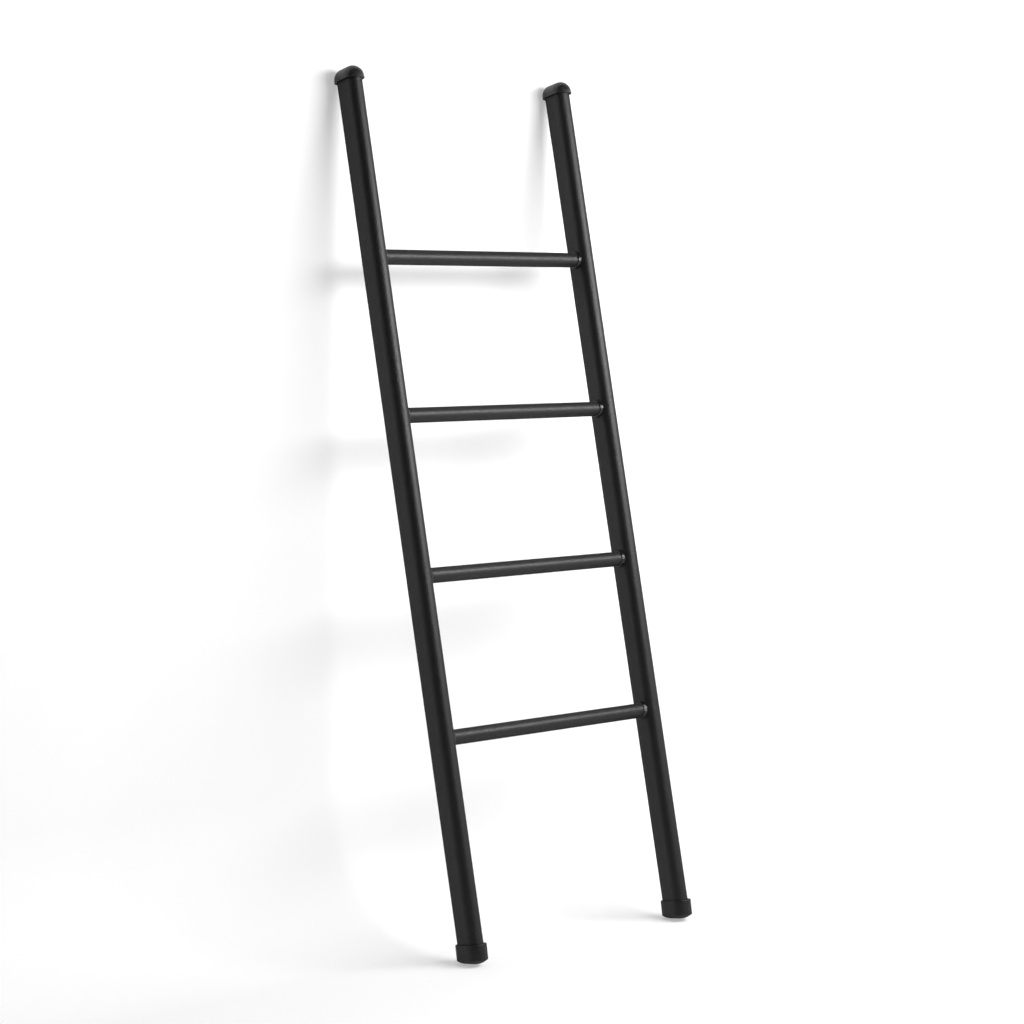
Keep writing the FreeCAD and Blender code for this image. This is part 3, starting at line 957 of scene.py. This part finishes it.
class LADDER_OT_rungs(bpy.types.Operator):
    """Powder-coats the rungs"""

    bl_idname = "towel_ladder.rungs"
    bl_label = "Rungs"

    def execute(self, context):
        coat = context.scene.towel_ladder.coat
        coat_nodes(RUNGS, powder_coat(coat, "rung_coat", coat.roughness, coat.gloss))
        return {"FINISHED"}


class LADDER_OT_welds(bpy.types.Operator):
    """Lays the rippled weld beads where the rungs meet the rails"""

    bl_idname = "towel_ladder.welds"
    bl_label = "Weld beads"

    def execute(self, context):
        coat, welds = context.scene.towel_ladder.coat, context.scene.towel_ladder.welds
        material = powder_coat(coat, "bead_coat", welds.roughness, welds.gloss, BEAD_TEXTURE)
        for side in SIDES:
            for number in range(1, len(RUNGS) + 1):
                grid = bead_surface(side, number, welds)
                name = f"weld_bead_{side}_{number}"
                node = f"weld_{side}_{number}"
                new_piece(name, grid, node, material, ring=True)
        return {"FINISHED"}


class LADDER_OT_caps(bpy.types.Operator):
    """Puts the domed caps on top of the rails"""

    bl_idname = "towel_ladder.caps"
    bl_label = "Top caps"

    def execute(self, context):
        caps = context.scene.towel_ladder.caps
        material = moulded_plastic(caps)
        for side in SIDES:
            grid = cap_surface(side, caps)
            new_piece(f"top_cap_{side}", grid, f"cap_{side}", material)
        return {"FINISHED"}


class LADDER_OT_boots(bpy.types.Operator):
    """Pulls the rubber boots over the rails' lower ends"""

    bl_idname = "towel_ladder.boots"
    bl_label = "Rubber boots"

    def execute(self, context):
        boots = context.scene.towel_ladder.boots
        material = boot_rubber(boots)
        for side in SIDES:
            grid = boot_surface(side, boots)
            new_piece(f"rubber_boot_{side}", grid, f"foot_{side}", material)
        return {"FINISHED"}


class LADDER_OT_discs(bpy.types.Operator):
    """Zinc-plates the steel discs inside the boots"""

    bl_idname = "towel_ladder.discs"
    bl_label = "Steel discs"

    def execute(self, context):
        coat_nodes([f"foot_disc_{side}" for side in SIDES], zinc_plate())
        return {"FINISHED"}


class LADDER_OT_stage(bpy.types.Operator):
    """Sets up the pale floor and wall, the soft light and the camera"""

    bl_idname = "towel_ladder.stage"
    bl_label = "Stage"

    def execute(self, context):
        scene = context.scene
        stage = scene.towel_ladder.stage
        low, high = (np.array(corner) for corner in CAD_BOX)
        wall_y = high[1] + WALL_GAP
        floor = np.array([(-FLOOR_REACH, -FLOOR_GAP), (FLOOR_REACH, -FLOOR_GAP)])
        cove_centre = (wall_y - COVE_RADIUS, COVE_RADIUS - FLOOR_GAP)
        cove = arc(cove_centre, COVE_RADIUS, -90, 0, COVE_STEPS)
        wall = np.vstack([cove, [(wall_y, WALL_HEIGHT)]])
        stage_sheet("stage_floor", carried_along(floor, FLOOR_REACH), pale_paint("floor_paint"))
        stage_sheet("stage_wall", carried_along(wall, WALL_REACH), pale_paint("wall_paint", True))
        room = stage_sheet("stage_room", front_dome(ROOM_RADIUS), dim_cloth(stage.room_glow))
        room.visible_camera = False

        middle = [0, 0, (low[2] + high[2]) / 2]
        key_place = ahead(stage.key_azimuth, stage.key_distance, stage.key_height)
        key_size = (stage.key_width, stage.key_length)
        fill_aim = [0, 0, FILL_PLACE[2]]
        soft_light("key_light", key_place, middle, *key_size, stage.key_power)
        soft_light("fill_light", ahead(*FILL_PLACE), fill_aim, *FILL_SIZE, stage.fill_power)

        scene.world = studio_world(stage.room_glow)
        scene.view_settings.view_transform = "Standard"
        lens = bpy.data.cameras.new("photograph_view")
        lens.lens = CAMERA_LENS
        camera = bpy.data.objects.new("photograph_view", lens)
        scene.collection.objects.link(camera)
        camera.location = CAMERA_PLACE
        camera.rotation_euler = (math.pi / 2 - CAMERA_DOWN, 0, -CAMERA_AZIMUTH)
        scene.camera = camera
        return {"FINISHED"}


OPERATORS = (
    LADDER_OT_rails,
    LADDER_OT_rungs,
    LADDER_OT_welds,
    LADDER_OT_caps,
    LADDER_OT_boots,
    LADDER_OT_discs,
    LADDER_OT_stage,
)


class LADDER_PT_pieces(bpy.types.Panel):
    """The ladder's pieces and stage, with their settings"""

    bl_idname = "LADDER_PT_pieces"
    bl_label = "Towel Ladder"
    bl_space_type = "VIEW_3D"
    bl_region_type = "UI"
    bl_category = "Ladder"

    def draw(self, context):
        settings = context.scene.towel_ladder
        for operator in OPERATORS:
            self.layout.operator(operator.bl_idname)
        for part in ("coat", "welds", "caps", "boots", "stage"):
            group = getattr(settings, part)
            box = self.layout.box()
            for name in group.bl_rna.properties.keys():
                if name not in ("rna_type", "name"):
                    box.prop(group, name)


CLASSES = (
    LadderCoatSettings,
    LadderWeldSettings,
    LadderCapSettings,
    LadderBootSettings,
    LadderStageSettings,
    LadderSettings,
    *OPERATORS,
    LADDER_PT_pieces,
)


def register():
    for made in CLASSES:
        bpy.utils.register_class(made)
    bpy.types.Scene.towel_ladder = PointerProperty(type=LadderSettings)


def unregister():
    del bpy.types.Scene.towel_ladder
    for made in reversed(CLASSES):
        bpy.utils.unregister_class(made)


def main():
    register()
    for operator in OPERATORS:
        group, name = operator.bl_idname.split(".")
        getattr(getattr(bpy.ops, group), name)()


if __name__ == "__main__":
    main()
